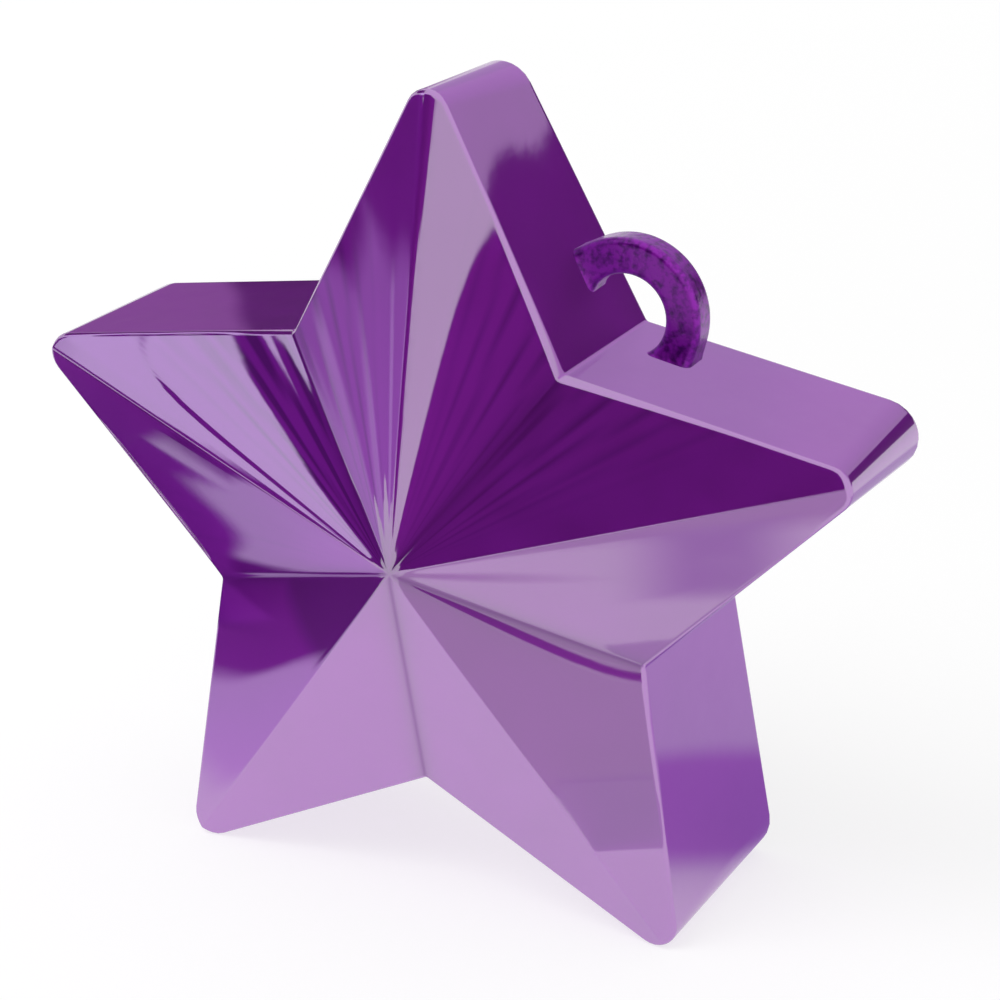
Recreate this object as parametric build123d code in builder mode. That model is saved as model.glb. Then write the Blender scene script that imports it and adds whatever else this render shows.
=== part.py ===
"""A star-shaped balloon weight: a moulded shell with a ribbon loop, its back cover,
the plug in the cover's fill hole, and the set block of ballast sealed inside.

The star stands upright on its two lower points. Its faceted front faces -Y, +Z is up, and
the origin is on the floor, under the middle of the star's box.
"""

import os
from math import atan2, cos, hypot, pi, radians, sin, tan

from build123d import *

os.makedirs("parts", exist_ok=True)

# Star outline at the front rim, measured as if its corners were sharp
point_count = 5
point_reach = 50.0
notch_reach = 25.7

# Roundings of that outline, and the least one that an inner wall keeps
point_round = 2.4
notch_round = 0.5
least_round = 0.4

# Front crown, side walls and back face; the lean makes the star deeper at its foot
crown_height = 7.9
wall_depth = 20.9
wall_draft_degrees = 1.75
back_lean_degrees = 5.7
rim_round = 0.5
rim_steps = 3
back_bevel = 0.4
wall = 1.8

# Ribbon loop, moulded across the notch between the top point and the right point, to which it
# is turned a little less than to the top one
loop_stand_off = 3.3
loop_turn_degrees = 1.6
loop_outer_radius = 8.0
loop_eye_radius = 4.3
loop_thickness = 3.5
loop_round = 0.7
loop_foot_round = 1.0
loop_depth_share = 0.6

# Back cover, seated in a rebate that leaves a share of the wall as a lip round it
cover_thickness = 1.8
cover_gap = 0.1
lip_share = 0.5

# Fill hole in the cover, and the push-in plug that closes it
fill_hole_radius = 5.0
plug_head_overlap = 2.0
plug_head_share = 0.5
plug_head_bevel = 0.3
plug_head_gap = 0.15
plug_shank_gap = 0.05
plug_barb = 0.3
plug_barb_lead = 0.6
plug_barb_length = 1.4
plug_barb_gap = 0.1
plug_skirt = 0.9

# Ballast, which shrinks a little from the walls as it sets
ballast_gap = 0.25

# Length by which a cut runs on past what it cuts
overrun = 2.0

# The star's ten edges all lie at one distance from its centre, so an inset only shrinks it
half_step = pi / point_count
edge_length = hypot(notch_reach * sin(half_step), point_reach - notch_reach * cos(half_step))
edge_distance = point_reach * notch_reach * sin(half_step) / edge_length
point_sine = notch_reach * sin(half_step) / edge_length
facet_slant = hypot(edge_distance, crown_height)
draft_slope = tan(radians(wall_draft_degrees))
lean_slope = tan(radians(back_lean_degrees))

# Planes: the rim's stands upright, and the back's leans out towards the foot
centre_height = (point_reach - point_round / point_sine) * cos(half_step) + point_round
foot_depth = wall_depth + lean_slope * centre_height
rim_y = (crown_height - foot_depth) / 2
rim_plane = Plane(origin=(0, rim_y, centre_height), x_dir=(1, 0, 0), z_dir=(0, -1, 0))
back_plane = Plane(
    origin=(0, rim_y + wall_depth, centre_height),
    x_dir=(-1, 0, 0),
    z_dir=(0, 1, lean_slope),
)
ledge_plane = back_plane.offset(-cover_thickness)
run_out = foot_depth + lean_slope * point_reach + overrun


def point_round_at(depth):
    """Rounding of the points at a depth: it grows with the draft, so that the foot stays level."""
    growth = point_reach * draft_slope * depth / edge_distance
    return point_round + growth * cos(half_step) / (cos(half_step) / point_sine - 1)


def outline(depth, inset):
    """Star section at a depth behind the rim, drawn in by the inset from the outer skin."""
    spread_share = (edge_distance + draft_slope * depth - inset) / edge_distance
    kinds = (
        (point_reach, max(point_round_at(depth) - inset, least_round)),
        (notch_reach, notch_round + inset),
    )
    corners = []
    rounds = []
    for turn in range(2 * point_count):
        reach, rounding = kinds[turn % 2]
        angle = pi / 2 + turn * half_step
        corners.append((spread_share * reach * cos(angle), spread_share * reach * sin(angle)))
        rounds.append(rounding)
    with BuildSketch(rim_plane.offset(-depth)) as section:
        with BuildLine():
            FilletPolyline(*corners, radius=rounds, close=True)
        make_face()
    return section.sketch


def apex(inset):
    """Peak of the crown, lowered so that its facets lie the inset below the outer ones."""
    return Vertex(*rim_plane.offset(crown_height - inset * facet_slant / edge_distance).origin)


def inner_star(inset):
    """The star's own form at an inset from its skin, running on past the back face."""
    base_depth = inset * (facet_slant - crown_height) / edge_distance
    sections = [outline(run_out, inset), outline(base_depth, inset), apex(inset)]
    with BuildPart() as body:
        loft(sections, ruled=True)
    return body.part


# Ribbon loop: a flat ring with rounded edges, half sunk into the notch's two walls
loop_angle = pi / 2 - half_step + radians(loop_turn_degrees)
loop_reach = notch_reach + loop_stand_off
loop_set_back = loop_depth_share * wall_depth - loop_thickness / 2
with BuildPart() as ribbon_ring:
    with BuildSketch(rim_plane.offset(-loop_set_back)):
        with Locations((loop_reach * cos(loop_angle), loop_reach * sin(loop_angle))):
            Circle(loop_outer_radius)
            Circle(loop_eye_radius, mode=Mode.SUBTRACT)
    extrude(amount=-loop_thickness)
    fillet(ribbon_ring.edges().filter_by(GeomType.CIRCLE), loop_round)

# Room that the cover takes at the back of the shell
lip = lip_share * wall
with BuildPart() as cover_seat:
    add(inner_star(lip))
    split(bisect_by=ledge_plane, keep=Keep.TOP)

# Front shell: ten facets, a rounded rim and drafted walls, open at the back
rim_turn = atan2(edge_distance, crown_height)
rim_start = rim_round * tan(rim_turn / 2)
shell_sections = [outline(run_out, 0)]
for step in range(rim_steps + 1):
    swing = rim_turn * step / rim_steps
    shell_sections.append(outline(rim_start - rim_round * sin(swing), rim_round * (1 - cos(swing))))
shell_sections.append(apex(0))
with BuildPart() as front_shell:
    loft(shell_sections, ruled=True)
    split(bisect_by=back_plane, keep=Keep.BOTTOM)
    back_edges = front_shell.faces().sort_by(Axis(back_plane.origin, back_plane.z_dir))[-1].edges()
    chamfer(back_edges, back_bevel)
    add(ribbon_ring.part)
    fillet(front_shell.edges(Select.NEW), loop_foot_round)
    add(inner_star(wall), mode=Mode.SUBTRACT)
    add(cover_seat.part, mode=Mode.SUBTRACT)

# Back cover: flush with the shell's lip, with a stepped fill hole at its middle
plug_head_radius = fill_hole_radius + plug_head_overlap
plug_head_thickness = plug_head_share * cover_thickness
with BuildPart() as back_cover:
    add(inner_star(lip + cover_gap))
    split(bisect_by=back_plane, keep=Keep.BOTTOM)
    split(bisect_by=ledge_plane, keep=Keep.TOP)
    with BuildSketch(back_plane):
        Circle(plug_head_radius + plug_head_gap)
    extrude(amount=-plug_head_thickness, mode=Mode.SUBTRACT)
    with BuildSketch(back_plane):
        Circle(fill_hole_radius)
    extrude(amount=-(cover_thickness + overrun), mode=Mode.SUBTRACT)

# Fill plug, turned from its half section: flush head, hollow shank, and a barb behind the cover
shank_radius = fill_hole_radius - plug_shank_gap
barb_radius = fill_hole_radius + plug_barb
barb_height = cover_thickness + plug_barb_gap
plug_length = barb_height + plug_barb_length
plug_section = (
    (0, 0),
    (plug_head_radius - plug_head_bevel, 0),
    (plug_head_radius, -plug_head_bevel),
    (plug_head_radius, -plug_head_thickness),
    (shank_radius, -plug_head_thickness),
    (shank_radius, -barb_height),
    (barb_radius, -barb_height),
    (barb_radius - plug_barb_lead, -plug_length),
    (shank_radius - plug_skirt, -plug_length),
    (shank_radius - plug_skirt, -plug_head_thickness),
    (0, -plug_head_thickness),
)
plug_plane = Plane(back_plane.origin, x_dir=back_plane.x_dir, z_dir=-back_plane.y_dir)
with BuildPart() as fill_plug:
    with BuildSketch(plug_plane):
        with BuildLine():
            Polyline(*plug_section, close=True)
        make_face()
    revolve(axis=Axis(back_plane.origin, back_plane.z_dir))

# Ballast: fills the shell up to the cover, with a pocket for the plug's end
ballast_plane = ledge_plane.offset(-ballast_gap)
with BuildPart() as ballast_block:
    add(inner_star(wall + ballast_gap))
    split(bisect_by=ballast_plane, keep=Keep.BOTTOM)
    with BuildSketch(back_plane):
        Circle(barb_radius + ballast_gap)
    extrude(amount=-(plug_length + ballast_gap), mode=Mode.SUBTRACT)

pieces = {
    "front_shell": front_shell,
    "back_cover": back_cover,
    "fill_plug": fill_plug,
    "ballast_block": ballast_block,
}
for name, piece in pieces.items():
    piece.part.label = name
    export_step(piece.part, f"parts/{name}.step")
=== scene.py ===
"""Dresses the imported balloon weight: a mirror-purple star shell with its ribbon loop, the back cover,
the plug in its fill hole and the block of mortar inside, on a white studio floor.

The star stands on its two lower points with its faceted front to -Y and +Z up, in metres.
"""

from math import atan2, cos, hypot, pi, radians, sin, sqrt, tan

import bpy
import numpy as np
from bpy.props import FloatProperty, FloatVectorProperty, PointerProperty
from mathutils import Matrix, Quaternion, Vector


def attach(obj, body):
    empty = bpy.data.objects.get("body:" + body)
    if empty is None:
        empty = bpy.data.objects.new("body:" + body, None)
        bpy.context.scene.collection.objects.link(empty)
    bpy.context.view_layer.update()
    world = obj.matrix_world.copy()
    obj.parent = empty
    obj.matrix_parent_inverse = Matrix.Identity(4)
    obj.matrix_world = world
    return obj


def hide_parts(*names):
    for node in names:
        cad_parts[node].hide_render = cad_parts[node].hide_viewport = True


bl_info = {
    "name": "Star Balloon Weight",
    "version": (1, 0, 0),
    "blender": (4, 5, 0),
    "location": "View3D > Sidebar > Balloon Weight",
    "description": "Builds the skin, loop, cover, plug and studio of a star-shaped balloon weight",
    "category": "Add Mesh",
}

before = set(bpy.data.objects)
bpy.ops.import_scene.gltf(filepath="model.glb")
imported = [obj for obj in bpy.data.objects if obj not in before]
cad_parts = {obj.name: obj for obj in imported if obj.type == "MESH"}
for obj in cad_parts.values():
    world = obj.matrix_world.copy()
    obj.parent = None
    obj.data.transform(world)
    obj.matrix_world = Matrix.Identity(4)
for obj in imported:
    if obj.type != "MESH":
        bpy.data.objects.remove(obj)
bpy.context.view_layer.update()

MM = 0.001
POINTS = 5
HALF_STEP = pi / POINTS
BODY = "root"

# Numbers of the notches beside the top point, and of the lower left leg's outer edge, as StarForm counts
LEFT_NOTCH = 1
RIGHT_NOTCH = 9
LEFT_LEG_EDGE = 3


def linear(hex_colour):
    """Linear colour, with an alpha of 1, of an sRGB hex value."""
    channels = np.array([int(hex_colour[at : at + 2], 16) for at in (0, 2, 4)]) / 255
    raised = ((channels + 0.055) / 1.055) ** 2.4
    return (*np.where(channels > 0.04045, raised, channels / 12.92).tolist(), 1.0)


def length_property(size, description):
    """Property for a length, whose default is given in millimetres."""
    return FloatProperty(description=description, default=size * MM, unit="LENGTH")


def angle_property(degrees, description):
    """Property for an angle, whose default is given in degrees."""
    return FloatProperty(description=description, default=radians(degrees), unit="ROTATION")


def colour_property(hex_colour, description):
    """Property for a colour, whose default is given as an sRGB hex value."""
    colour = linear(hex_colour)
    return FloatVectorProperty(description=description, default=colour, size=4, subtype="COLOR")


class StarSizes(bpy.types.PropertyGroup):
    """Sizes of the star shell, as the CAD model has them, and the softness of its folds."""

    point_reach: length_property(
        50.0, "From the star's middle to the sharp corner of a point, at the front rim"
    )
    notch_reach: length_property(25.7, "From the star's middle to the corner of a notch, at the front rim")
    point_round: length_property(2.4, "Radius of a point's rounding at the front rim")
    notch_round: length_property(0.5, "Radius of a notch's rounding on the outer skin")
    least_round: length_property(0.4, "Smallest radius that an inner wall keeps at a point")
    crown_height: length_property(7.9, "Height of the peak of the facets over the front rim")
    wall_depth: length_property(20.9, "From the front rim to the back face, at the star's middle")
    wall_draft: angle_property(1.75, "Angle at which the side walls spread towards the back")
    back_lean: angle_property(5.7, "Angle at which the back face leans out towards the foot")
    rim_round: length_property(0.5, "Radius between a facet and its side wall")
    back_round: length_property(0.4, "Radius between a side wall and the back face")
    wall: length_property(1.8, "Thickness of the moulded shell")
    lip: length_property(0.9, "Width of the lip that the shell keeps round the back cover")
    ridge_softness: length_property(0.3, "Distance over which two facets blend on a ridge")
    valley_softness: length_property(0.35, "Distance over which two facets blend in a valley")


class MouldMarks(bpy.types.PropertyGroup):
    """Slight waves that moulding leaves in the facets and walls, which bend their reflections."""

    right_fill: length_property(
        1.0, "Height by which the facets fill the valley between the top and right points"
    )
    left_fill: length_property(
        0.35, "Height by which the facets fill the valley between the top and left points"
    )
    low_fill: length_property(0.1, "Height by which the facets fill the three lower valleys")
    ripple: length_property(0.003, "Height of the fine ripples beside the upper valleys")
    peak_blunt: length_property(0.15, "Height by which the peak of the facets is blunted")
    wall_sink: length_property(0.05, "Depth by which a side wall sinks in at its middle")


class LoopSizes(bpy.types.PropertyGroup):
    """Sizes of the ribbon loop."""

    stand_off: length_property(3.3, "From the notch's corner to the middle of the loop")
    turn: angle_property(1.6, "Angle by which the loop is turned towards the top point")
    outer_radius: length_property(8.0, "Radius of the loop's outer edge")
    eye_radius: length_property(4.3, "Radius of the loop's eye")
    thickness: length_property(3.5, "Thickness of the loop from front to back")
    edge_round: length_property(0.7, "Radius of the loop's long edges")
    foot_flare: length_property(0.5, "Distance by which the loop widens where it grows out of a wall")
    depth_share: FloatProperty(
        description="Place of the loop's middle as a share of the wall's depth",
        default=0.6,
        subtype="FACTOR",
    )


class CoverSizes(bpy.types.PropertyGroup):
    """Sizes of the back cover and of the plug in its fill hole."""

    thickness: length_property(1.8, "Thickness of the back cover")
    gap: length_property(0.1, "Gap between the cover and the shell's lip")
    edge_round: length_property(0.15, "Radius of the cover's outer edge and of the fill hole's edge")
    hole_radius: length_property(5.0, "Radius of the fill hole")
    head_radius: length_property(7.0, "Radius of the plug's head")
    head_gap: length_property(0.15, "Gap round the plug's head")
    head_thickness: length_property(0.9, "Thickness of the plug's head, and depth of the step it sits in")
    shank_radius: length_property(4.95, "Radius of the plug's shank")
    barb: length_property(0.3, "Distance by which the barb stands out past the fill hole")
    barb_length: length_property(1.4, "Length of the barb behind the cover")


class Finishes(bpy.types.PropertyGroup):
    """Colours of the materials."""

    lacquer: colour_property("a42cc0", "Colour of the metal film under its purple lacquer")
    # Darker lacquer colour, used for the lacquer's random drift and for the painted shade in the folds
    deep_lacquer_and_shade: colour_property("6f2088", "Colour of the lacquer where it lies thicker")
    loop_lacquer: colour_property("9420b0", "Colour of the lacquered film on the loop")
    # Darker lacquer colour in the loop's pits: painted shade
    pit_shade_lacquer: colour_property("5a1074", "Colour of the lacquer in the loop's pits")
    cover_purple: colour_property("622c74", "Colour of the back cover's plastic")
    plug_purple: colour_property("52275f", "Colour of the plug's plastic")
    cement: colour_property("b1afa9", "Colour of the set cement between the sand grains")
    sand: colour_property("8d8478", "Colour of the sand grains in the mortar")


class StudioSettings(bpy.types.PropertyGroup):
    """Camera and lights."""

    view_turn: angle_property(28.26, "Angle by which the camera stands to the right of the star's front")
    view_rise: angle_property(21.8, "Angle by which the camera looks down on the star")
    distance: length_property(299.5, "From the camera to the middle of the star's rim")
    lens: FloatProperty(
        description="Focal length on a 36 mm sensor, in millimetres",
        default=106.65,
    )
    pan: angle_property(1.427, "Angle by which the camera looks past the star's middle to the right")
    tilt: angle_property(0.935, "Angle by which the camera looks over the star's middle")
    ambient: FloatProperty(
        description="Strength of the white surroundings on matt surfaces",
        default=0.6,
        min=0.0,
    )
    key_power: FloatProperty(
        description="Power of the large lamp over the camera's left, in watts",
        default=3.0,
        min=0.0,
    )
    key_size: length_property(600.0, "Length of the large lamp's sides")


class BalloonWeight(bpy.types.PropertyGroup):
    """All settings of the balloon weight."""

    star: PointerProperty(type=StarSizes)
    marks: PointerProperty(type=MouldMarks)
    loop: PointerProperty(type=LoopSizes)
    cover: PointerProperty(type=CoverSizes)
    finish: PointerProperty(type=Finishes)
    studio: PointerProperty(type=StudioSettings)


def unit(angle):
    """Unit vectors at angles, as pairs."""
    return np.stack([np.cos(angle), np.sin(angle)], axis=-1)


class StarForm:
    """The star's outline and planes, worked out from its sizes.

    Corners are numbered counter-clockwise from the top, as seen from the front: even ones are points
    and odd ones are notches. Edge k runs from corner k to corner k + 1. All ten edges lie at one
    distance from the middle, so an inset or the draft only scales the sharp star.
    """

    # Turns across a corner's rounding, closer together on the ridge and in the valley
    TIP_TURNS = np.array([0.03, 0.08, 0.16, 0.3, 0.5, 0.75, 1.0])
    NOTCH_TURNS = np.array([0.25, 0.5, 0.75, 1.0])
    EDGE_COLUMNS = 40
    END_CROWDING = 0.13

    def __init__(self, sizes):
        self.sizes = sizes
        reach, notch = sizes.point_reach, sizes.notch_reach
        length = hypot(notch * sin(HALF_STEP), reach - notch * cos(HALF_STEP))
        self.edge_length = length
        self.edge_distance = reach * notch * sin(HALF_STEP) / length
        self.point_half = atan2(notch * sin(HALF_STEP), reach - notch * cos(HALF_STEP))
        self.notch_half = self.point_half + HALF_STEP
        self.draft = tan(sizes.wall_draft)
        self.lean = tan(sizes.back_lean)
        level = cos(HALF_STEP) / sin(self.point_half) - 1
        self.round_growth = reach * self.draft / self.edge_distance * cos(HALF_STEP) / level
        flat_reach = reach - sizes.point_round / sin(self.point_half)
        self.middle_height = flat_reach * cos(HALF_STEP) + sizes.point_round
        foot_depth = sizes.wall_depth + self.lean * self.middle_height
        self.rim_y = (sizes.crown_height - foot_depth) / 2
        self.middle = np.array([0.0, self.rim_y, self.middle_height])
        self.facet_pitch = atan2(sizes.crown_height, self.edge_distance)
        self.lay_columns()

    def lay_columns(self):
        """Lays columns round the star: over each corner's rounding, then along the edge after it, a
        little closer at both ends. Every column lies between two points on roundings."""
        tip = np.concatenate([-self.TIP_TURNS[::-1], [0.0], self.TIP_TURNS])
        notch = np.concatenate([-self.NOTCH_TURNS[::-1], [0.0], self.NOTCH_TURNS])
        way = np.arange(1, self.EDGE_COLUMNS) / self.EDGE_COLUMNS
        way = way - self.END_CROWDING * np.sin(2 * pi * way) / 2
        corner, turn, share = [], [], []
        for at in range(2 * POINTS):
            turns = tip if at % 2 == 0 else notch
            corner.append(np.full(len(turns) + len(way), at))
            turn.append(np.concatenate([turns, np.ones(len(way))]))
            share.append(np.concatenate([np.zeros(len(turns)), way]))
        self.corner, self.turn, self.share = map(np.concatenate, (corner, turn, share))
        self.edge = (self.corner - (self.turn < 0)) % (2 * POINTS)
        from_tip = self.edge % 2 == 0
        on_arc = self.share == 0
        at_tip = self.corner % 2 == 0
        along = np.where(from_tip, self.share, 1 - self.share)
        self.valley_share = np.where(on_arc, np.where(at_tip, 0.0, 1.0), along)
        self.over_ridge = np.where(from_tip, self.edge - 1, self.edge + 1) % (2 * POINTS)
        self.over_valley = np.where(from_tip, self.edge + 1, self.edge - 1) % (2 * POINTS)

    def normal_angle(self, corner, turn):
        """Angle of the outward normal on a corner's rounding: the corner's own, plus its swing."""
        swing = np.where(corner % 2 == 0, pi / 2 - self.point_half, self.notch_half - pi / 2)
        return pi / 2 + corner * HALF_STEP + turn * swing

    def edge_normals(self, edge):
        """Outward unit normals of edges, as (x, z) pairs."""
        return unit(self.normal_angle(edge, np.ones(np.shape(edge))))

    def on_corner(self, corner, turn, depth, inset):
        """Point on a corner's rounding: the rounding's centre on the corner's own ray, plus its radius
        along the normal. A notch is rounded from outside, so its radius counts backwards."""
        sizes = self.sizes
        spread = (self.edge_distance + self.draft * depth - inset) / self.edge_distance
        tip_round = np.maximum(sizes.point_round + self.round_growth * depth - inset, sizes.least_round)
        notch_round = sizes.notch_round + inset
        is_tip = corner % 2 == 0
        tip_reach = spread * sizes.point_reach - tip_round / sin(self.point_half)
        notch_reach = spread * sizes.notch_reach + notch_round / sin(self.notch_half)
        reach = np.where(is_tip, tip_reach, notch_reach)
        radius = np.where(is_tip, tip_round, -notch_round)
        ray, normal = unit(pi / 2 + corner * HALF_STEP), unit(self.normal_angle(corner, turn))
        return reach[..., None] * ray + radius[..., None] * normal

    def outline(self, depth, inset):
        """Star section at a depth behind the rim, drawn in by an inset: (x, z) pairs round the middle."""
        depth, inset = np.broadcast_arrays(np.asarray(depth, float), np.asarray(inset, float))
        if depth.ndim < 2:
            depth, inset = depth[..., None], inset[..., None]
        start = self.on_corner(self.corner, self.turn, depth, inset)
        end = self.on_corner((self.corner + 1) % (2 * POINTS), -np.ones(len(self.turn)), depth, inset)
        share = self.share[:, None]
        return start * (1 - share) + end * share

    def placed(self, plan, depth):
        """Points in the scene for (x, z) pairs at a depth behind the rim."""
        depth = np.broadcast_to(depth, plan.shape[:-1])
        return np.stack([plan[..., 0], self.rim_y + depth, self.middle_height + plan[..., 1]], axis=-1)

    def back_depth(self, inset, below):
        """Depth at which the walls, drawn in by an inset, meet a plane that lies below the back face."""
        base = self.outline(0.0, inset)[..., 1]
        rise = (self.outline(MM, inset)[..., 1] - base) / MM
        depth = self.sizes.wall_depth - below * sqrt(1 + self.lean**2)
        return (depth - self.lean * base) / (1 + self.lean * rise)

    def on_back(self, inset, below):
        """Wall points at an inset on a plane that lies below the back face."""
        depth = self.back_depth(inset, below)
        return self.placed(self.outline(depth[None, :], np.full((1, len(depth)), inset))[0], depth)

    def back_frame(self):
        """Origin, right, up and outward directions of the back face."""
        out = np.array([0.0, 1.0, self.lean]) / sqrt(1 + self.lean**2)
        right = np.array([-1.0, 0.0, 0.0])
        origin = self.middle + np.array([0.0, self.sizes.wall_depth, 0.0])
        return origin, right, np.cross(out, right), out


def step_between(low, high, value):
    """Smooth step from 0 at the low value to 1 at the high one: 3 t^2 - 2 t^3."""
    t = np.clip((value - low) / (high - low), 0.0, 1.0)
    return t * t * (3 - 2 * t)


def crown_rise(form, plan):
    """Height of the crown over the rim plane at rows of (x, z) pairs, from the peak to the rim.

    Each facet is a plane that falls from the peak to its edge. On a ridge the lower of two planes
    counts and in a valley the higher one, and a squared bump of the gap between them rounds the fold.
    The top point's ridge grows softer over the outer half of its rows.
    """
    top_ridge = np.isin(form.edge, (0, 2 * POINTS - 1))
    top_growth = 4
    sizes = form.sizes
    reach = (plan * form.edge_normals(form.edge)).sum(-1)
    ridge_gap = reach - (plan * form.edge_normals(form.over_ridge)).sum(-1)
    valley_gap = (plan * form.edge_normals(form.over_valley)).sum(-1) - reach
    out = np.linspace(0, 1, len(plan))[:, None]
    soft = sizes.ridge_softness * (1 + top_growth * step_between(0.5, 1.0, out) * top_ridge)
    ridge = soft / 4 * np.clip(1 - ridge_gap / soft, 0, 1) ** 2
    valley = sizes.valley_softness / 4 * np.clip(1 - valley_gap / sizes.valley_softness, 0, 1) ** 2
    return sizes.crown_height * (1 - (reach + ridge - valley) / form.edge_distance)


# Flow streaks on the facets, one row each: the facet's edge, the streak's place and width as shares of
# the way from ridge to valley, the angle in degrees by which it tilts the facet there, and the share by
# which it bends towards the valley on its way to the rim
STREAKS = (
    (0, 0.12, 0.05, 1.0, 0.0),
    (0, 0.3, 0.04, -1.2, 0.1),
    (0, 0.5, 0.05, 1.0, 0.1),
    (0, 0.68, 0.04, -1.0, 0.1),
    (0, 0.84, 0.04, 1.2, 0.0),
    (1, 0.035, 0.006, 2.0, 0.16),
    (1, 0.065, 0.006, 2.0, 0.18),
    (1, 0.13, 0.025, 3.5, 0.22),
    (1, 0.82, 0.16, 3.2, 0.0),
    (1, 0.89, 0.008, -2.5, 0.0),
    (2, 0.3, 0.1, -1.5, 0.0),
    (2, 1.0, 0.14, 8.0, 0.0),
    (3, 0.5, 0.15, -1.0, 0.0),
    (6, 0.92, 0.05, -5.0, 0.05),
    (7, 0.5, 0.15, 1.0, 0.0),
    (8, 0.7, 0.04, 1.0, 0.0),
    (8, 0.85, 0.03, -1.0, 0.0),
    (9, 0.4, 0.06, 1.6, 0.15),
)
# Strength of the fine ripples on the ten facets, in the order of their edges
RIPPLE_SHARE = np.array([1.0, 2.0, 0.2, 0.0, 0.0, 0.0, 0.0, 0.0, 0.9, 0.8])


def ripples(form, t):
    """Fine ripples that fan out from the peak, from -1 to 1: two sines of the share of the way from
    ridge to valley, stronger towards the valley, for shares t of the way from peak to rim."""
    share = form.valley_share
    near_valley = step_between(0.2, 0.75, share)
    wander = 0.5 * t**2
    coarse_count, fine_count = 8.0, 13.0
    first = np.sin(2 * pi * (coarse_count * share + wander) + form.edge)
    second = np.sin(2 * pi * (fine_count * share - wander))
    return RIPPLE_SHARE[form.edge] * near_valley * (0.6 * first + 0.4 * second)


def streaks(form, t):
    """Height of the flow streaks at the rim's scale, for shares t of the way from peak to rim.

    A streak is a hyperbolic tangent of the share of the way from ridge to valley, so it tilts the facet
    over its own width. Its place moves with the sixth power of t. Each facet's streaks are brought back
    to zero on its ridge and in its valley.
    """
    height = np.zeros((len(t), len(form.edge)))
    for edge, start, width, tilt, bend in STREAKS:
        place = start + bend * t**6
        lift = form.edge_length * tan(radians(tilt)) * width
        step = np.tanh((form.valley_share - place) / width)
        first, last = np.tanh(-place / width), np.tanh((1 - place) / width)
        level = first + (last - first) * form.valley_share
        height += np.where(form.edge == edge, lift * (step - level), 0.0)
    return height


def facet_waves(form, marks, t):
    """Height of the moulding's marks on the facets, for shares t of the way from peak to rim: a fill
    that rises towards the valley with the square of the way there, streaks and ripples. They fan out
    from the peak, so their height grows with t. The peak itself is blunted by a narrow bell."""
    edge = form.edge
    fills = np.full(2 * POINTS, marks.low_fill)
    fills[LEFT_NOTCH], fills[RIGHT_NOTCH] = marks.left_fill, marks.right_fill
    fill_start, bell_width = 0.3, 0.8 * MM
    way = np.clip((form.valley_share - fill_start) / (1 - fill_start), 0, 1)
    fill = fills[edge + (edge % 2 == 0)] * way**2
    blunt = marks.peak_blunt * np.exp(-((t * form.sizes.notch_reach / bell_width) ** 2))
    return t * (fill + streaks(form, t) + marks.ripple * ripples(form, t)) - blunt


def wall_waves(form, marks, v):
    """Depth of the sink in the side walls, for shares v of the way from rim to back: half a sine along
    the edge, with a slow tilt from ridge to valley, times the square of one from front to back."""
    along = np.sin(pi * form.valley_share) * (1 + 0.5 * np.cos(pi * form.valley_share))
    return marks.wall_sink * along * np.sin(pi * v) ** 2


def link_mesh(name, points, faces):
    """Adds an object with a smooth-shaded mesh to the scene."""
    mesh = bpy.data.meshes.new(name)
    mesh.from_pydata(points, [], faces, shade_flat=False)
    piece = bpy.data.objects.new(name, mesh)
    bpy.context.scene.collection.objects.link(piece)
    return piece


def set_attribute(piece, name, values):
    """Gives the points of a piece's mesh an attribute, one value each."""
    piece.data.attributes.new(name, "FLOAT", "POINT").data.foreach_set("value", values.ravel())


def add_piece(name, grid, poles=(None, None), ring=False, sharp_rows=()):
    """Adds a mesh of quads from a grid of points whose rows close on themselves.

    Rows run along a profile and columns go round it, so that row direction times column direction
    points outwards. A pole closes the first or last row with a fan, and a ring joins the last row to
    the first. The edges along sharp rows are creased.
    """
    rows, columns = grid.shape[:2]
    index = np.arange(rows * columns).reshape(rows, columns)
    points = [grid.reshape(-1, 3)]
    around = np.vstack([index, index[:1]]) if ring else index
    beside = np.roll(around, -1, axis=1)
    faces = np.stack([around[:-1], around[1:], beside[1:], beside[:-1]], axis=-1).reshape(-1, 4).tolist()
    count = rows * columns
    for pole, row, step in ((poles[0], 0, -1), (poles[1], -1, 1)):
        if pole is None:
            continue
        points.append(np.asarray(pole, float)[None, :])
        near, far = index[row], np.roll(index[row], step)
        faces += np.stack([np.full(columns, count), near, far], axis=-1).tolist()
        count += 1
    piece = link_mesh(name, np.concatenate(points).tolist(), faces)
    if sharp_rows:
        mesh = piece.data
        ends = np.empty(2 * len(mesh.edges), np.int32)
        mesh.edges.foreach_get("vertices", ends)
        row_of = ends.reshape(-1, 2) // columns
        sharp = (row_of[:, 0] == row_of[:, 1]) & np.isin(row_of[:, 0], sharp_rows)
        mesh.attributes.new("sharp_edge", "BOOLEAN", "EDGE").data.foreach_set("value", sharp)
    piece.data.update()
    return piece


def add_node(tree, kind, inputs, **settings):
    """Adds a node with its settings. Inputs are constants, or the outputs that they are linked to."""
    made = tree.nodes.new(kind)
    for name, value in settings.items():
        setattr(made, name, value)
    for name, value in inputs.items():
        if isinstance(value, bpy.types.NodeSocket):
            tree.links.new(value, made.inputs[name])
        else:
            made.inputs[name].default_value = value
    return made


def new_material(name):
    """A new material with an empty node tree, and that tree."""
    material = bpy.data.materials.new(name)
    material.use_nodes = True
    material.node_tree.nodes.clear()
    return material, material.node_tree


def object_place(tree):
    """Output with the place on the object, in metres."""
    return add_node(tree, "ShaderNodeTexCoord", {}).outputs["Object"]


def attribute(tree, name):
    """Output with a point attribute of the mesh."""
    return add_node(tree, "ShaderNodeAttribute", {}, attribute_name=name).outputs["Fac"]


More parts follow.
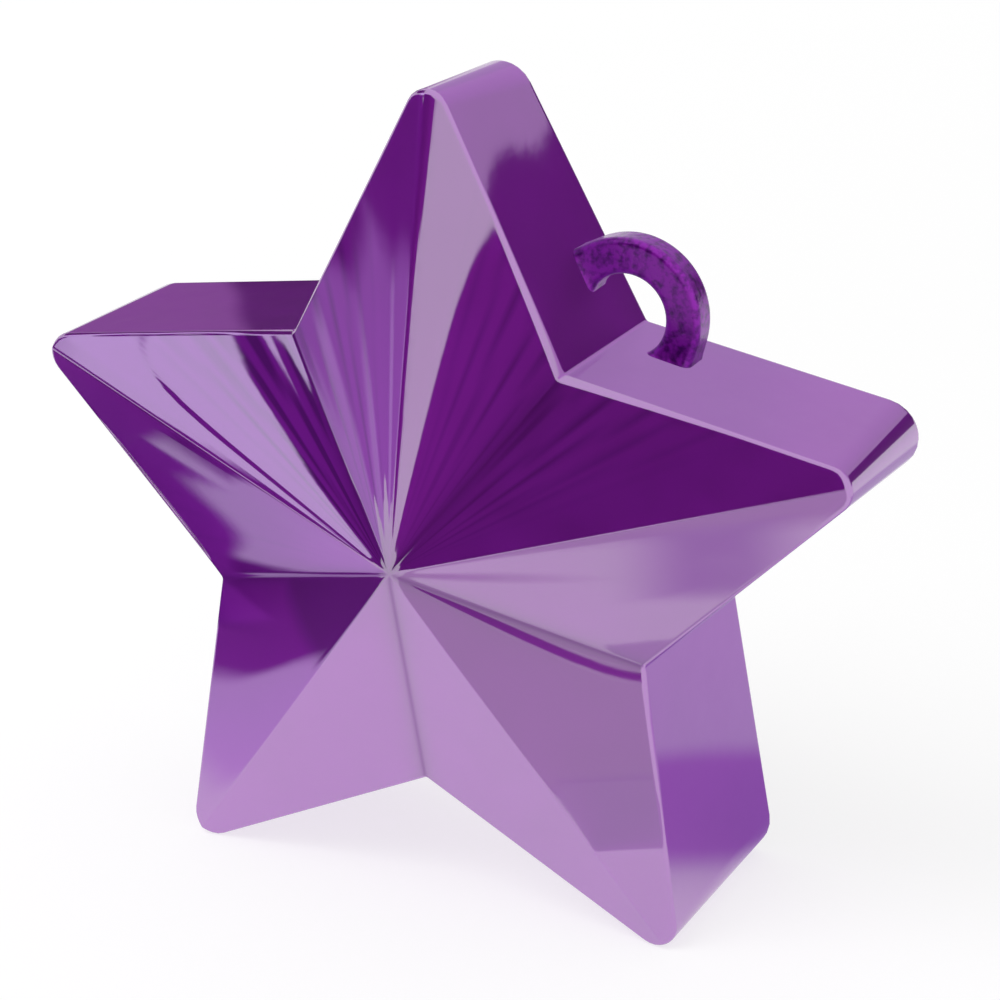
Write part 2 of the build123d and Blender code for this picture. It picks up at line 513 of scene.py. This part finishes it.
def noise(tree, place, size, detail):
    """Output with noise in clouds of about the given size."""
    made = add_node(tree, "ShaderNodeTexNoise", {"Vector": place, "Scale": 1 / size, "Detail": detail})
    return made.outputs["Fac"]


def remap(tree, value, to=(0.0, 1.0), span=(0.0, 1.0)):
    """Output that goes between the two ends in to while the value runs over the span."""
    ends = {"From Min": span[0], "From Max": span[1], "To Min": to[0], "To Max": to[1]}
    return add_node(tree, "ShaderNodeMapRange", {"Value": value, **ends}).outputs[0]


def calculate(tree, operation, *values):
    """Output with the result of a math node."""
    return add_node(tree, "ShaderNodeMath", dict(enumerate(values)), operation=operation).outputs[0]


def blend(tree, share, first, second):
    """Output with a colour between two."""
    inputs = {"Factor": share, "A": first, "B": second}
    return add_node(tree, "ShaderNodeMix", inputs, data_type="RGBA").outputs[2]


def bump(tree, height, strength, distance):
    """Output with normals that a height bends."""
    inputs = {"Height": height, "Strength": strength, "Distance": distance}
    return add_node(tree, "ShaderNodeBump", inputs).outputs["Normal"]


def add_surface(tree, inputs, kind="ShaderNodeBsdfPrincipled"):
    """Adds the shader that the material shows."""
    shader = add_node(tree, kind, inputs)
    add_node(tree, "ShaderNodeOutputMaterial", {"Surface": shader.outputs[0]})


def add_lacquered_film(tree, colour, roughness, normal, gloss, coat_roughness, coat_ior):
    """Adds the shader of a metal film under clear lacquer, which share their bumps."""
    inputs = {
        "Base Color": colour,
        "Metallic": 1.0,
        "Roughness": roughness,
        "Coat Weight": gloss,
        "Coat Roughness": coat_roughness,
        "Coat IOR": coat_ior,
        "Normal": normal,
        "Coat Normal": normal,
    }
    add_surface(tree, inputs)


def metallised_plastic(name, finish, mirror_roughness):
    """ABS with a vacuum-deposited metal film under purple lacquer: the lacquer's own mirror is neutral
    and sharp, and the film below it gives a deeper, softer purple."""
    material, tree = new_material(name)
    place = object_place(tree)
    # Lacquer thickness drifts over about 20 mm, and painted shade darkens the lacquer in the folds
    drift_share, painted_shade_share = 0.4, 0.6
    thin = calculate(tree, "MULTIPLY", noise(tree, place, 20 * MM, detail=2.0), drift_share)
    drift_and_shade = calculate(tree, "MULTIPLY_ADD", attribute(tree, "fold"), painted_shade_share, thin)
    colour = blend(tree, drift_and_shade, finish.lacquer, finish.deep_lacquer_and_shade)
    # The mirror dulls along the lower valleys, where the lacquer runs together
    gloss = remap(tree, attribute(tree, "seam"), to=(1.0, 0.65))
    # Film haze, in clouds of about 4 mm
    haze = remap(tree, noise(tree, place, 4 * MM, detail=3.0), to=(0.38, 0.5))
    # Orange peel of the lacquer, about 1.5 mm apart
    peel = bump(tree, noise(tree, place, 1.5 * MM, detail=1.0), strength=0.04, distance=0.05 * MM)
    add_lacquered_film(tree, colour, haze, peel, gloss, mirror_roughness, coat_ior=3.0)
    return material


def eroded_metallised_plastic(finish):
    """The same film on the loop, whose mould was spark-eroded and left unpolished: small pits break the
    mirror up into dark and light specks, and the darker colour in the pits is painted shade."""
    material, tree = new_material("Vacuum-metallised ABS, spark-eroded")
    # Pits of about 0.7 mm, drawn coarser than real spark marks so that they show
    pits = noise(tree, object_place(tree), 0.7 * MM, detail=2.0)
    # Painted shade: the colour darkens where the pits sink in
    specks = remap(tree, pits, span=(0.3, 0.58))
    colour = blend(tree, specks, finish.pit_shade_lacquer, finish.loop_lacquer)
    rough = remap(tree, pits, to=(0.38, 0.55))
    pitted = bump(tree, pits, strength=0.3, distance=0.15 * MM)
    add_lacquered_film(tree, colour, rough, pitted, gloss=1.0, coat_roughness=0.2, coat_ior=1.3)
    return material


def moulded_plastic(name, colour, grain, roughness):
    """Unpainted plastic from a textured mould: a fine grain in the surface scatters its sheen, and the
    colour drifts a little where the melt flowed."""
    material, tree = new_material(name)
    place = object_place(tree)
    flow = remap(tree, noise(tree, place, 14 * MM, detail=3.0), to=(0.85, 1.12))
    tint = add_node(tree, "ShaderNodeHueSaturation", {"Value": flow, "Color": colour})
    texture = noise(tree, place, grain, detail=2.0)
    inputs = {
        "Base Color": tint.outputs[0],
        "Roughness": remap(tree, texture, to=(roughness - 0.07, roughness + 0.07)),
        "IOR": 1.53,
        "Normal": bump(tree, texture, strength=0.35, distance=grain / 4),
    }
    add_surface(tree, inputs)
    return material


def cement_mortar(finish):
    """Set cement mortar: pale cement with sand grains of about 1.2 mm."""
    material, tree = new_material("Cement mortar, cast")
    cells = {"Vector": object_place(tree), "Scale": 1 / (1.2 * MM)}
    grains = add_node(tree, "ShaderNodeTexVoronoi", cells).outputs["Distance"]
    inputs = {
        "Base Color": blend(tree, remap(tree, grains, span=(0.2, 0.5)), finish.sand, finish.cement),
        "Roughness": 0.9,
        "Normal": bump(tree, grains, strength=0.5, distance=0.3 * MM),
    }
    add_surface(tree, inputs)
    return material


def shell_rows(form, marks, ledge):
    """Rows of the shell's skin, from the peak over the facets, round the rim, down the walls, round the
    back edge and lip to the cover's ledge, and back inside to the inner peak. The ledge is given as its
    depth below the back face. Returns the rows, the two peaks, the fold and seam attributes of the
    facets' rows, the numbers of the creased rows and that of the first wall row."""
    sizes = form.sizes
    rows = []
    rim_turn = pi / 2 - form.facet_pitch
    rim_start = sizes.rim_round * tan(rim_turn / 2)

    # Facets: the rim's inner outline shrunk to the peak, at the crown's height
    facet_rows, rim_rows, rim_crowding = 76, 9, 0.9
    t = np.linspace(0, 1, facet_rows)[1:-1] ** rim_crowding
    t = np.concatenate([t, [0.99, 0.996, 1.0]])[:, None]
    swing = rim_turn * np.linspace(1, 0, rim_rows)[:, None]
    inset = sizes.rim_round * (1 - np.cos(swing))
    depth = rim_start - sizes.rim_round * np.sin(swing)
    rim_plan = form.outline(np.zeros(1), inset[0])[0]
    plan = t[..., None] * rim_plan
    rise = crown_rise(form, plan) + facet_waves(form, marks, t)
    rows.append(form.placed(plan, -rise))
    valley_gap = np.abs(
        (plan * form.edge_normals(form.over_valley)).sum(-1) - (plan * form.edge_normals(form.edge)).sum(-1)
    )

    # Painted shade, as darker lacquer: in the valleys, on the ripples' crests, and by the peak on the lower
    # left leg's outer facet. The lacquer runs together into a seam along the middle of the three lower
    # valleys
    valley_shade_width, seam_width = 0.8 * MM, 0.25 * MM
    peak_shade_start, peak_shade_end = 14 * MM, 17.5 * MM
    crest_shade = 1.2
    fold = np.maximum(np.exp(-valley_gap / valley_shade_width), crest_shade * np.maximum(ripples(form, t), 0))
    near_peak = 1 - step_between(peak_shade_start, peak_shade_end, np.hypot(plan[..., 0], plan[..., 1]))
    folds = np.maximum(fold, np.where(form.edge == LEFT_LEG_EDGE, near_peak, 0.0))
    lower = (form.edge > LEFT_NOTCH) & (form.edge < RIGHT_NOTCH - 1)
    seams = np.where(lower, np.exp(-((valley_gap / seam_width) ** 2)), 0.0)

    # Rim: an arc from the facet to the wall, lifted where the facet's edge lies off the rim's plane
    lift = rise[-1] + depth[0]
    plan = form.outline(depth, inset)
    rows.append(form.placed(plan, depth - lift * inset / inset[0])[1:])

    # Side walls, which spread with the draft and sink in a little
    walls_from = len(t) + len(swing) - 1
    back = form.back_depth(0.0, sizes.back_round)
    v = np.concatenate([[0.006, 0.02, 0.045], np.linspace(0.08, 0.96, 28), [0.985, 1.0]])[:, None]
    depth = rim_start + (back - rim_start) * v
    sunk = wall_waves(form, marks, v)
    plan = form.outline(depth, np.zeros(depth.shape))
    plan = plan - sunk[..., None] * unit(form.normal_angle(form.corner, form.turn))
    rows.append(form.placed(plan, depth))

    # Back edge, lip, rebate and ledge
    bevel, steps = sizes.back_round, (pi / 6, pi / 3, pi / 2)
    for step in steps:
        rows.append(form.on_back(bevel * (1 - cos(step)), bevel * (1 - sin(step)))[None])
    corners = ((sizes.lip, 0.0), (sizes.lip, ledge), (sizes.wall, ledge))
    for inset_now, below in corners:
        rows.append(form.on_back(inset_now, below)[None])

    # Inner wall and inner facets. The corners' rows are creased, and so is the inner rim after them
    sharp_from = walls_from + len(v) + len(steps)
    sharp = tuple(range(sharp_from, sharp_from + len(corners) + 1))
    slant = hypot(form.edge_distance, sizes.crown_height)
    base = sizes.wall * (slant - sizes.crown_height) / form.edge_distance
    inner_rim = form.outline(np.array([base]), np.array([sizes.wall]))[0]
    rows.append(form.placed(inner_rim, base)[None])
    inner_peak = sizes.crown_height - sizes.wall * slant / form.edge_distance
    for share in (0.7, 0.4, 0.1):
        rows.append(form.placed(share * inner_rim, share * base - (1 - share) * inner_peak)[None])
    peak = form.middle - np.array([0.0, sizes.crown_height - marks.peak_blunt, 0.0])
    inside = form.middle - np.array([0.0, inner_peak, 0.0])
    return np.concatenate(rows), (peak, inside), folds, seams, sharp, walls_from


def loop_grid(form, loop):
    """The ribbon loop: a rounded rectangle carried round an arc.

    Each fibre of the section runs on its own circle, from just under one wall to just under the other.
    The section widens by the flare near both walls, as an exponential of the way from the wall.
    """
    bury, flare_reach = 1.0 * MM, 0.8 * MM
    corner_points, fibre_points = 9, 121
    angle = pi / 2 - HALF_STEP + loop.turn
    reach = form.sizes.notch_reach + loop.stand_off
    centre = reach * unit(angle)
    depth = loop.depth_share * form.sizes.wall_depth
    wall_at = form.edge_distance + form.draft * depth
    before, after = form.edge_normals(np.array([RIGHT_NOTCH - 1, RIGHT_NOTCH]))
    middle = (loop.outer_radius + loop.eye_radius) / 2
    half_width = (loop.outer_radius - loop.eye_radius) / 2
    half_thick = loop.thickness / 2

    # Section: a quarter circle on each corner of a smaller rectangle, and points along the flats
    quarter = np.arange(4)[:, None]
    lap = (quarter + np.linspace(0, 1, corner_points)) * pi / 2
    square = unit((quarter + 0.5) * pi / 2) * sqrt(2)
    core = square * (np.array([half_width, half_thick]) - loop.edge_round)
    arcs = core + loop.edge_round * unit(lap)
    ends, starts = arcs[:, -1:], np.roll(arcs, -1, axis=0)[:, :1]
    way = np.array([0.08, 0.3, 0.5, 0.7, 0.92])[:, None]
    section = np.concatenate([arcs, ends + way * (starts - ends)], axis=1).reshape(-1, 2)

    # Each fibre's two ends: where its circle lies the buried distance under a wall
    radius = middle + section[:, 0]
    feet = []
    for normal, side in ((before, -1), (after, 1)):
        drop = wall_at - bury - normal @ centre
        feet.append(atan2(normal[1], normal[0]) + side * np.arccos(np.clip(drop / radius, -1, 1)))
    s = step_between(-0.3, 1.3, np.linspace(0, 1, fibre_points))
    s = ((s - s[0]) / (s[-1] - s[0]))[:, None]
    turn = feet[0] + s * (feet[1] - feet[0])

    # Flare of the feet
    span = middle * (feet[1] - feet[0]).mean()
    above = np.minimum(s, 1 - s) * span - bury
    flare = loop.foot_flare * np.exp(-np.maximum(above, 0) / flare_reach)
    grow = 1 + flare / np.hypot(half_width, half_thick)
    radius = middle + section[None, :, 0] * grow
    x = centre[0] + radius * np.cos(turn)
    y = form.rim_y + depth + section[None, :, 1] * grow
    z = form.middle_height + centre[1] + radius * np.sin(turn)
    return np.stack([x, y, z], axis=-1)


def cover_grid(form, cover):
    """The back cover: rows that start at the fill hole's edge on the outer face, spread from a circle to
    the star's outline, go round its edge, and return on the inner face and up through the stepped hole."""
    inset = form.sizes.lip + cover.gap
    origin, right, up, out = form.back_frame()
    face = form.on_back(inset, 0.0) - origin
    angle = np.arctan2(face @ up, face @ right)
    ring = np.cos(angle)[:, None] * right + np.sin(angle)[:, None] * up
    seat = cover.head_radius + cover.head_gap
    soft = cover.edge_round

    def circle(radius, below):
        return origin + radius * ring - below * out

    def spread(share, radius, below):
        return circle(radius, below) * (1 - share) + form.on_back(inset, below) * share

    rows = [circle(seat, soft), circle(seat + soft, 0.0)]
    rows += [spread(share, seat + soft, 0.0) for share in (0.25, 0.5, 0.75)]
    rows += [form.on_back(inset + soft, 0.0), form.on_back(inset, soft)]
    rows += [form.on_back(inset, cover.thickness)]
    rows += [spread(share, cover.hole_radius, cover.thickness) for share in (0.66, 0.33)]
    rows += [circle(cover.hole_radius, cover.thickness), circle(cover.hole_radius, cover.head_thickness)]
    rows += [circle(seat, cover.head_thickness)]
    return np.stack(rows)[:, ::-1], (0, 1, 5, 6, 7, 10, 11, 12)


def plug_grid(form, cover):
    """The fill plug: a half section turned about the back face's normal, from the middle of the head,
    with a shallow gate mark there, over the barb and back up inside the hollow shank."""
    origin, right, up, out = form.back_frame()
    bevel, skirt = 0.3 * MM, 0.9 * MM
    barb_gap, barb_lead = 0.1 * MM, 0.6 * MM
    gate_radius, gate_depth = 1.5 * MM, 0.18 * MM
    bevel_rows, columns = 6, 96
    barb_at = cover.thickness + barb_gap
    end = barb_at + cover.barb_length
    shank, head, deep = cover.shank_radius, cover.head_radius, cover.head_thickness
    tip = cover.hole_radius + cover.barb
    steps = np.linspace(0, pi / 2, bevel_rows)
    gate = [(share * gate_radius, gate_depth * (1 - share) ** 2) for share in (0.2, 0.4, 0.6, 0.8, 1.0)]
    edge = [(head - bevel + bevel * sin(a), bevel * (1 - cos(a))) for a in steps]
    profile = gate + [(0.5 * head, 0.0)] + edge
    sharp = len(profile)
    profile += [(head, deep), (shank, deep), (shank, barb_at), (tip, barb_at), (tip - barb_lead, end)]
    profile += [(shank - skirt, end), (shank - skirt, deep)]
    radius, below = np.array(profile).T
    lap = np.linspace(0, 2 * pi, columns, endpoint=False)
    ring = np.cos(lap)[:, None] * right + np.sin(lap)[:, None] * up
    grid = origin + radius[:, None, None] * ring - below[:, None, None] * out
    poles = (origin - gate_depth * out, origin - deep * out)
    return grid, poles, tuple(range(sharp, len(profile)))


def screen_grid(middle, turn, rise, radius, count=81):
    """Part of a sphere round the star: turn and rise are the low and high ends of its angles, turn from
    the star's front to its right and rise from the horizon."""
    turns, rises = np.radians(np.linspace(*turn, count)), np.radians(np.linspace(*rise, count))
    a, e = np.meshgrid(turns, rises, indexing="ij")
    away = np.stack([np.sin(a) * np.cos(e), -np.cos(a) * np.cos(e), np.sin(e)], axis=-1)
    return middle + radius * away


def card_grid(x, y, height, count=41):
    """A flat card over the floor: x and y are the low and high ends of its sides."""
    a, b = np.meshgrid(np.linspace(*x, count), np.linspace(*y, count), indexing="ij")
    return np.stack([a, b, np.full(a.shape, height)], axis=-1)


def add_sheet(name, grid):
    """Adds an open sheet of quads from a grid of points."""
    rows, columns = grid.shape[:2]
    index = np.arange(rows * columns).reshape(rows, columns)
    faces = np.stack([index[:-1, :-1], index[1:, :-1], index[1:, 1:], index[:-1, 1:]], axis=-1)
    return link_mesh(name, grid.reshape(-1, 3).tolist(), faces.reshape(-1, 4).tolist())


class BALLOONWEIGHT_OT_star_shell(bpy.types.Operator):
    """Build the faceted star shell with its rim, walls and back lip"""

    bl_idname = "balloon_weight.star_shell"
    bl_label = "Star Shell"

    def execute(self, context):
        settings = context.scene.balloon_weight
        form = StarForm(settings.star)
        ledge = settings.cover.thickness
        rows, peaks, folds, seams, sharp, walls_from = shell_rows(form, settings.marks, ledge)
        shell = add_piece("star_shell", rows, peaks, sharp_rows=sharp)
        # The fold attribute holds the painted shade of the facets, and the seam attribute dulls their
        # mirror
        for name, on_facets, on_peak in (("fold", folds, 1.0), ("seam", seams, 0.0)):
            values = np.zeros(len(shell.data.vertices))
            values[: on_facets.size] = on_facets.ravel()
            values[-len(peaks)] = on_peak
            set_attribute(shell, name, values)
        for name, roughness in (("facets", 0.03), ("walls", 0.04)):
            name = "Vacuum-metallised ABS, purple lacquer, " + name
            shell.data.materials.append(metallised_plastic(name, settings.finish, roughness))
        on_wall = np.zeros(len(shell.data.polygons), np.int32)
        on_wall[walls_from * rows.shape[1] :] = 1
        shell.data.polygons.foreach_set("material_index", on_wall)
        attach(shell, BODY)
        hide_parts("front_shell")
        return {"FINISHED"}


class BALLOONWEIGHT_OT_ribbon_loop(bpy.types.Operator):
    """Build the ribbon loop across the notch between the top and right points"""

    bl_idname = "balloon_weight.ribbon_loop"
    bl_label = "Ribbon Loop"

    def execute(self, context):
        settings = context.scene.balloon_weight
        grid = loop_grid(StarForm(settings.star), settings.loop)
        loop = add_piece("ribbon_loop", grid, (grid[0].mean(0), grid[-1].mean(0)))
        loop.data.materials.append(eroded_metallised_plastic(settings.finish))
        # The polished walls show no image of the dull loop
        loop.visible_glossy = False
        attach(loop, BODY)
        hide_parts("front_shell")
        return {"FINISHED"}


class BALLOONWEIGHT_OT_back_cover(bpy.types.Operator):
    """Build the star-shaped back cover with its stepped fill hole"""

    bl_idname = "balloon_weight.back_cover"
    bl_label = "Back Cover"

    def execute(self, context):
        settings = context.scene.balloon_weight
        grid, sharp = cover_grid(StarForm(settings.star), settings.cover)
        cover = add_piece("back_cover_plate", grid, ring=True, sharp_rows=sharp)
        purple = settings.finish.cover_purple
        cover.data.materials.append(moulded_plastic("ABS, moulded satin", purple, 0.5 * MM, 0.42))
        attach(cover, BODY)
        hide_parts("back_cover")
        return {"FINISHED"}


class BALLOONWEIGHT_OT_fill_plug(bpy.types.Operator):
    """Build the plug that closes the fill hole"""

    bl_idname = "balloon_weight.fill_plug"
    bl_label = "Fill Plug"

    def execute(self, context):
        settings = context.scene.balloon_weight
        grid, poles, sharp = plug_grid(StarForm(settings.star), settings.cover)
        plug = add_piece("fill_plug_turned", grid, poles, sharp_rows=sharp)
        purple = settings.finish.plug_purple
        plug.data.materials.append(moulded_plastic("Polyethylene, moulded matt", purple, 0.35 * MM, 0.58))
        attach(plug, BODY)
        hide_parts("fill_plug")
        return {"FINISHED"}


class BALLOONWEIGHT_OT_ballast(bpy.types.Operator):
    """Give the ballast block inside the shell its mortar"""

    bl_idname = "balloon_weight.ballast"
    bl_label = "Ballast"

    def execute(self, context):
        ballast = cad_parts["ballast_block"]
        ballast.data.materials.clear()
        ballast.data.materials.append(cement_mortar(context.scene.balloon_weight.finish))
        return {"FINISHED"}


class BALLOONWEIGHT_OT_studio(bpy.types.Operator):
    """Set up the floor, the screens, the lamp, the white surroundings and the camera"""

    bl_idname = "balloon_weight.studio"
    bl_label = "Studio"

    # From the star's middle to the lamp, in metres
    LAMP_OFFSET = (-0.35, -0.45, 0.75)
    # Screens round the star that only reflections see: ends of turn and of rise in degrees, radius in
    # metres, felt colour, glow and the soft rim's share
    SCREENS = {
        "screen_front": ((-31, 6), (-5, 38), 0.5, "000000", 1.0, 0.03),
        "screen_left": ((-50, -29), (-4, 12.2), 0.3, "000000", 1.0, 0.05),
        "screen_lilac": ((-60, -25), (8, 40), 0.56, "ecdafe", 1.5, 0.1),
        "screen_far_left": ((-85, -46), (1, 22), 0.3, "000000", 1.0, 0.12),
        "screen_near_left": ((-58.5, -50), (-14, 6), 0.305, "d9b6f4", 1.0, 0.25),
        "screen_mid_left": ((-70, -52), (-14, 8), 0.31, "a67cc1", 1.0, 0.2),
        "screen_top_left": ((-125, -60), (30, 62), 0.5, "000000", 1.0, 0.1),
        "screen_behind": ((122, 182), (4, 18.9), 0.4, "000000", 1.0, 0.03),
        "screen_high_behind": ((118, 190), (16, 50), 0.45, "d4b8de", 1.0, 0.05),
        "screen_back": ((183, 207), (16, 42), 0.5, "c4b4d0", 1.0, 0.12),
        "screen_near_back": ((210, 223.5), (5, 25), 0.15, "000000", 1.0, 0.1),
        "screen_back_left": ((208, 240), (0, 28), 0.5, "8f6099", 1.0, 0.1),
    }
    # Cards over the floor that only reflections see: ends of x and of y, height in metres, felt colour,
    # glow and the soft rim's share
    CARDS = {
        "card_left": ((-0.14, -0.0705), (-0.09, -0.0235), 0.0004, "000000", 1.0, 0.08),
        "card_tip_left": ((-0.09, -0.0545), (-0.024, -0.001), 0.025, "702488", 1.0, 0.15),
        "card_arm_left": ((-0.062, -0.024), (-0.0155, -0.001), 0.0249, "702488", 1.0, 0.1),
        "card_lilac_left": ((-0.1, -0.035), (-0.06, -0.012), 0.0002, "e2ccf4", 1.0, 0.15),
        "card_front": ((-0.01, 0.07), (-0.15, -0.0505), 0.0004, "cacaca", 1.0, 0.02),
        "card_low_front": ((0.02, 0.05), (-0.0302, -0.0115), 0.01, "cacad0", 1.0, 0.03),
        "card_small_front": ((0.02, 0.047), (-0.056, -0.044), 0.0005, "b8b8c8", 1.0, 0.45),
        "card_far_front": ((0.0, 0.14), (-0.3, -0.13), 0.0004, "404040", 1.0, 0.25),
        "card_behind": ((0.02, 0.07), (0.009, 0.052), 0.0004, "a67cc1", 1.0, 0.22),
        "card_far_behind": ((0.02, 0.14), (0.0, 0.14), 0.0003, "cfc2dc", 1.0, 0.15),
    }

    def execute(self, context):
        settings = context.scene.balloon_weight
        middle = StarForm(settings.star).middle
        self.add_floor()
        for name, (turn, rise, radius, *felt) in self.SCREENS.items():
            self.add_screen(name, screen_grid(middle, turn, rise, radius), *felt)
        for name, (x, y, height, *felt) in self.CARDS.items():
            self.add_screen(name, card_grid(x, y, height), *felt)
        self.add_lamp(middle, settings.studio)
        self.light_world(context.scene, settings.studio)
        self.add_camera(context.scene, Vector(middle), settings.studio)
        context.scene.view_settings.view_transform = "Standard"
        return {"FINISHED"}

    def add_floor(self):
        """A pale floor, white to the eye and in reflections, that keeps the object's shadow."""
        reach = 2.0
        side = np.linspace(-reach, reach, 3)
        x, y = np.meshgrid(side, side, indexing="ij")
        floor = add_sheet("floor", np.stack([x, y, np.zeros_like(x)], axis=-1))
        material, tree = new_material("Paper sweep, matt white")
        # The lamp's light falls off with the distance, and the glow makes up for it
        away = add_node(tree, "ShaderNodeVectorMath", {0: object_place(tree)}, operation="LENGTH")
        level = remap(tree, away.outputs["Value"], to=(0.69, 0.77), span=(0.2, 1.0))
        glow = calculate(tree, "MULTIPLY", self.seen_rays(tree), level)
        light = add_node(tree, "ShaderNodeEmission", {"Strength": glow})
        paper = add_node(tree, "ShaderNodeBsdfDiffuse", {"Color": linear("a8a8a8")})
        add_surface(tree, {0: light.outputs[0], 1: paper.outputs[0]}, "ShaderNodeAddShader")
        floor.data.materials.append(material)

    def seen_rays(self, tree):
        """1 for rays from the camera, from a mirror and through glass, and 0 for the rest."""
        path = add_node(tree, "ShaderNodeLightPath", {}).outputs
        seen = path["Is Camera Ray"]
        for kind in ("Is Glossy Ray", "Is Transmission Ray"):
            seen = calculate(tree, "MAXIMUM", seen, path[kind])
        return seen

    def add_screen(self, name, grid, colour, glow, soft):
        """A soft-edged screen of one colour that shows only in reflections."""
        screen = add_sheet(name, grid)
        across, up = np.meshgrid(*(np.linspace(0, 1, count) for count in grid.shape[:2]), indexing="ij")
        rim = np.minimum(np.minimum(across, 1 - across), np.minimum(up, 1 - up))
        set_attribute(screen, "cover", step_between(0, soft, rim))
        material, tree = new_material("Felt, " + name)
        felt = add_node(tree, "ShaderNodeEmission", {"Color": linear(colour), "Strength": glow})
        clear = add_node(tree, "ShaderNodeBsdfTransparent", {})
        layers = {0: attribute(tree, "cover"), 1: clear.outputs[0], 2: felt.outputs[0]}
        add_surface(tree, layers, "ShaderNodeMixShader")
        screen.data.materials.append(material)
        screen.visible_camera = False
        screen.visible_diffuse = False
        screen.visible_shadow = False
        screen.visible_transmission = False

    def add_lamp(self, middle, studio):
        """One large soft lamp, high over the camera's left."""
        lamp = bpy.data.lights.new("key_lamp", "AREA")
        lamp.energy = studio.key_power
        lamp.size = studio.key_size
        holder = bpy.data.objects.new("key_lamp", lamp)
        holder.location = Vector(middle) + Vector(self.LAMP_OFFSET)
        holder.rotation_mode = "QUATERNION"
        holder.rotation_quaternion = (Vector(middle) - holder.location).to_track_quat("-Z", "Y")
        holder.visible_glossy = False
        bpy.context.scene.collection.objects.link(holder)

    def light_world(self, scene, studio):
        """White surroundings: full white to the eye and in reflections, and weaker on matt surfaces."""
        scene.world = bpy.data.worlds.new("white_room")
        scene.world.use_nodes = True
        tree = scene.world.node_tree
        tree.nodes.clear()
        strength = remap(tree, self.seen_rays(tree), to=(studio.ambient, 1.0))
        room = add_node(tree, "ShaderNodeBackground", {"Color": linear("ffffff"), "Strength": strength})
        add_node(tree, "ShaderNodeOutputWorld", {"Surface": room.outputs[0]})

    def add_camera(self, scene, middle, studio):
        """The camera looks at the star's middle, and is then panned and tilted on its own axes."""
        camera = bpy.data.cameras.new("camera")
        camera.lens = studio.lens
        camera.clip_start = 0.01
        holder = bpy.data.objects.new("camera", camera)
        turn, rise = studio.view_turn, studio.view_rise
        back = Vector((sin(turn) * cos(rise), -cos(turn) * cos(rise), sin(rise)))
        holder.location = middle + studio.distance * back
        holder.rotation_mode = "QUATERNION"
        pan = Quaternion((0, 1, 0), -studio.pan)
        tilt = Quaternion((1, 0, 0), studio.tilt)
        holder.rotation_quaternion = (-back).to_track_quat("-Z", "Y") @ pan @ tilt
        scene.collection.objects.link(holder)
        scene.camera = holder


class VIEW3D_PT_balloon_weight(bpy.types.Panel):
    """Sidebar panel with a button for each step, and the settings"""

    bl_label = "Balloon Weight"
    bl_space_type = "VIEW_3D"
    bl_region_type = "UI"
    bl_category = "Balloon Weight"

    def draw(self, context):
        for step in STEPS:
            self.layout.operator(step.bl_idname)
        settings = context.scene.balloon_weight
        for group_name in BalloonWeight.__annotations__:
            group = getattr(settings, group_name)
            box = self.layout.box()
            box.label(text=group_name.capitalize())
            for name in group.__annotations__:
                box.prop(group, name, text=name.replace("_", " ").capitalize())


STEPS = (
    BALLOONWEIGHT_OT_star_shell,
    BALLOONWEIGHT_OT_ribbon_loop,
    BALLOONWEIGHT_OT_back_cover,
    BALLOONWEIGHT_OT_fill_plug,
    BALLOONWEIGHT_OT_ballast,
    BALLOONWEIGHT_OT_studio,
)
CLASSES = (
    StarSizes,
    MouldMarks,
    LoopSizes,
    CoverSizes,
    Finishes,
    StudioSettings,
    BalloonWeight,
    *STEPS,
    VIEW3D_PT_balloon_weight,
)


def register():
    for cls in CLASSES:
        bpy.utils.register_class(cls)
    bpy.types.Scene.balloon_weight = PointerProperty(type=BalloonWeight)


def unregister():
    del bpy.types.Scene.balloon_weight
    for cls in reversed(CLASSES):
        bpy.utils.unregister_class(cls)


def main():
    """Builds every piece and the studio."""
    register()
    bpy.ops.balloon_weight.star_shell()
    bpy.ops.balloon_weight.ribbon_loop()
    bpy.ops.balloon_weight.back_cover()
    bpy.ops.balloon_weight.fill_plug()
    bpy.ops.balloon_weight.ballast()
    bpy.ops.balloon_weight.studio()


if __name__ == "__main__":
    main()
